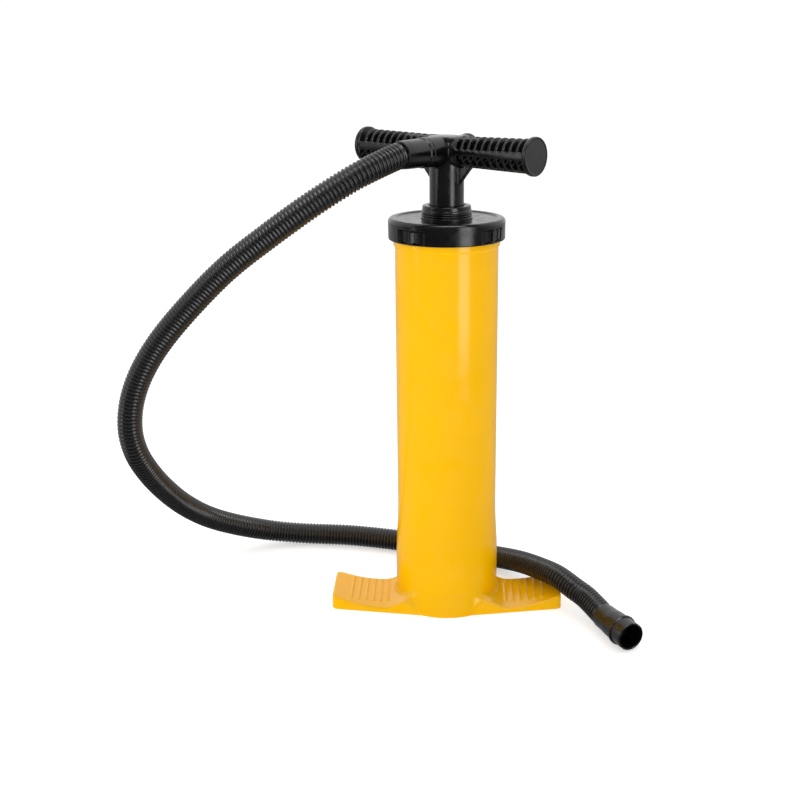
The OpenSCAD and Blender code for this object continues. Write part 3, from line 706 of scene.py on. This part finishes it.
def add_hose():
    """The corrugated hose in two stretches that meet on the floor behind the pump, so that each crosses one joint."""
    fine = smooth_line(HOSE_ROUTE)
    steps = np.concatenate([[0], np.cumsum(np.linalg.norm(np.diff(fine, axis=0), axis=1))])
    total = steps[-1]
    count = int(round(total / PITCH * RINGS_PER_RIB))
    distance = np.linspace(0, total, count + 1)
    line = np.stack([np.interp(distance, steps, fine[:, k]) for k in range(3)], 1)
    split = int(np.argmin(np.linalg.norm(line - np.array(HOSE_ROUTE[SPLIT_POINT]), axis=1)))
    upper = corrugated("hose_upper", line[:split + 1], distance[:split + 1], total)
    lower = corrugated("hose_lower", line[split:], distance[split:], total)
    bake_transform(upper)
    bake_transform(lower)


def add_cuffs():
    """The smooth cuffs at the hose's two ends."""
    along_port = (Matrix.Rotation(HANDLE_TURN, 4, "Z") @ Matrix.Translation((0, 0, HANDLE_Z * MM))
                  @ Matrix.Rotation(math.radians(90), 4, "X"))
    lathe("hose_cuff_upper", [
        (SPIGOT_R, CUFF_START, 0.3), (RING_R, CUFF_START, 0.8), (RING_R, CUFF_START + 4.5, 1.4),
        (CUFF_R + 0.2, CUFF_START + 5.4, 0.8), (CUFF_R, CUFF_END - 8, 6), (CUFF_R - 0.5, CUFF_END, 0.5),
        (HOSE_BORE_R, CUFF_END, 0.3), (HOSE_BORE_R, CUFF_START + SPIGOT, 0.3),
        (SPIGOT_R, CUFF_START + SPIGOT, 0.3),
    ], "hose_plastic", "rod", "hose_handle_cuff", segments=128, place=along_port)
    back = (Matrix.Translation(Vector(END_MOUTH) * MM) @ Matrix.Rotation(END_TURN, 4, "Z")
            @ Matrix.Rotation(math.radians(-90), 4, "Y"))
    socket_r, socket_depth, lip_r = 12.0, 24, 15.2
    piece = lathe("hose_connector", [
        (socket_r, 0, 0.6), (13.8, 0, 0.7), (13.9, 13.2, 0.6), (lip_r, 14.0, 0.5), (lip_r, 16.5, 0.5),
        (13.9, 17.4, 0.6), (13.6, 28, 5), (12.8, 36, 8), (12.4, END_CUFF, 0.5), (HOSE_BORE_R, END_CUFF, 0.3),
        (HOSE_BORE_R, socket_depth, 0.4), (socket_r, socket_depth, 0.3),
    ], "hose_plastic", None, "hose_end_cuff", segments=144, place=back)
    apply_modifiers(piece)
    # Two bayonet slots across the mouth
    slot_half, slot_depth, slot_turn = 1.8, 6, math.radians(40)
    slots = solid_of({"bars": [(slot_half, (-20, 0, z), (20, 0, z)) for z in np.arange(-1, slot_depth, 0.8)]})
    slots.data.transform(back @ Matrix.Rotation(slot_turn, 4, "Z"))
    modifier = piece.modifiers.new("slots", "BOOLEAN")
    modifier.operation, modifier.solver, modifier.use_self = "DIFFERENCE", "EXACT", True
    modifier.object = slots
    apply_modifiers(piece)
    bpy.data.objects.remove(slots)
    piece.data.polygons.foreach_set("use_smooth", [True] * len(piece.data.polygons))
    weigh_normals(piece)
    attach(piece, "barrel")


# ---- Studio ----

def area_light(name, azimuth, distance, height, size, radiance, aim=(0, 0, 0.25)):
    """A softbox. Azimuth is measured from the front, positive to the right."""
    data = bpy.data.lights.new(name, "AREA")
    data.shape = "RECTANGLE"
    data.size, data.size_y = size
    data.energy = radiance * math.pi * size[0] * size[1]
    lamp = bpy.data.objects.new(name, data)
    a = math.radians(azimuth)
    lamp.location = (distance * math.sin(a), -distance * math.cos(a), height)
    lamp.rotation_euler = (Vector(aim) - lamp.location).to_track_quat("-Z", "Y").to_euler()
    bpy.context.scene.collection.objects.link(lamp)
    return lamp


def add_studio():
    """A glowing white table in a room that is white behind and dim in front and below, with soft lights."""
    mesh = bpy.data.meshes.new("floor")
    half = 30.0
    mesh.from_pydata([(-half, -half, 0), (half, -half, 0), (half, half, 0), (-half, half, 0)], [], [(0, 1, 2, 3)])
    floor = bpy.data.objects.new("floor", mesh)
    bpy.context.scene.collection.objects.link(floor)
    material, nodes, links, shader = node_tree("light_table")
    shader.inputs["Base Color"].default_value = (0.85, 0.85, 0.85, 1)
    shader.inputs["Roughness"].default_value = 0.8
    shader.inputs["Specular IOR Level"].default_value = 0.0
    shader.inputs["Emission Color"].default_value = (1, 1, 1, 1)
    shader.inputs["Emission Strength"].default_value = 0.5
    mesh.materials.append(material)
    floor.visible_glossy = False
    world = bpy.data.worlds.new("World")
    world.use_nodes = True
    nodes, links = world.node_tree.nodes, world.node_tree.links
    split = nodes.new("ShaderNodeSeparateXYZ")
    links.new(nodes.new("ShaderNodeTexCoord").outputs["Generated"], split.inputs[0])
    behind = map_range(nodes, links, split.outputs["Y"], 0.2, 1.02, -0.5, 0.3)
    above = map_range(nodes, links, split.outputs["Z"], 0.35, 1.0, -0.2, -0.03)
    dim = nodes.new("ShaderNodeMath")
    dim.operation = "MULTIPLY"
    links.new(behind, dim.inputs[0])
    links.new(above, dim.inputs[1])
    links.new(dim.outputs[0], nodes["Background"].inputs["Strength"])
    nodes["Background"].inputs["Color"].default_value = (1, 1, 1, 1)
    bpy.context.scene.world = world
    bpy.context.scene.view_settings.view_transform = "Standard"
    strip = area_light("right_strip", 37.5, 0.97, 0.52, (0.4, 1.0), 4, aim=(0, 0, 0.52))
    strip.visible_diffuse = False
    overhead = area_light("overhead_box", 20, 0.25, 1.5, (0.7, 0.5), 4.5)
    overhead.visible_diffuse = False
    area_light("left_box", -70, 1.3, 0.6, (0.35, 1.0), 1.8)
    fill = area_light("front_fill", -12, 1.5, 0.8, (1.2, 1.2), 1.8, aim=(0, 0, 0.15))
    fill.visible_glossy = False
    sky = area_light("top_fill", 0, 0.3, 1.7, (1.4, 1.2), 0.9)
    sky.visible_glossy = False


add_camera()
paint_frame()
add_cuffs()
add_hose()
add_barrel()
add_cap()
add_gland_collar()
add_hub()
add_grip("grip_right", 1)
add_grip("grip_left", -1)
add_hub_cover()
add_foot_plate()
add_studio()
